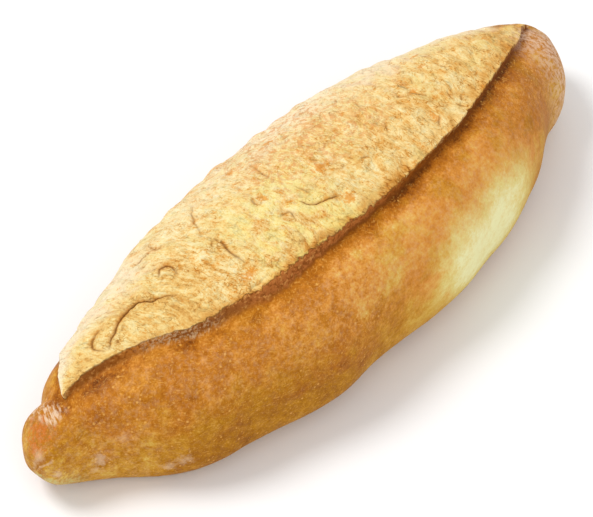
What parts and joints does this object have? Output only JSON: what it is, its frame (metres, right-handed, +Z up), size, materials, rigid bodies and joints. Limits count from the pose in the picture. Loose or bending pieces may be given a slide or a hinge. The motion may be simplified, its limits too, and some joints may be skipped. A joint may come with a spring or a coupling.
{
  "type": "long white bread loaf with one lengthwise slash",
  "caption": "Spindle-shaped white loaf with blunt tips, smooth golden crust on one side, and one lengthwise slash opened into a wide pale flaky bloom over the crown.",
  "frame": {"origin": "middle of the loaf's length and width, at the flat base it rests on", "axes": "+X along the loaf, away from the drawn-out knob at the -X tip; +Z up; -Y towards the smooth crust side, +Y towards the side the bloom rolls over"},
  "size_m": [0.32, 0.1046, 0.0737],
  "materials": {
    "crust": "baked golden crust with a faint sheen, dusted with flour in places; the opened slash is pale, dry and flaky"
  },
  "bodies": {
    "root": {"loaf": "crust"}
  },
  "joints": []
}
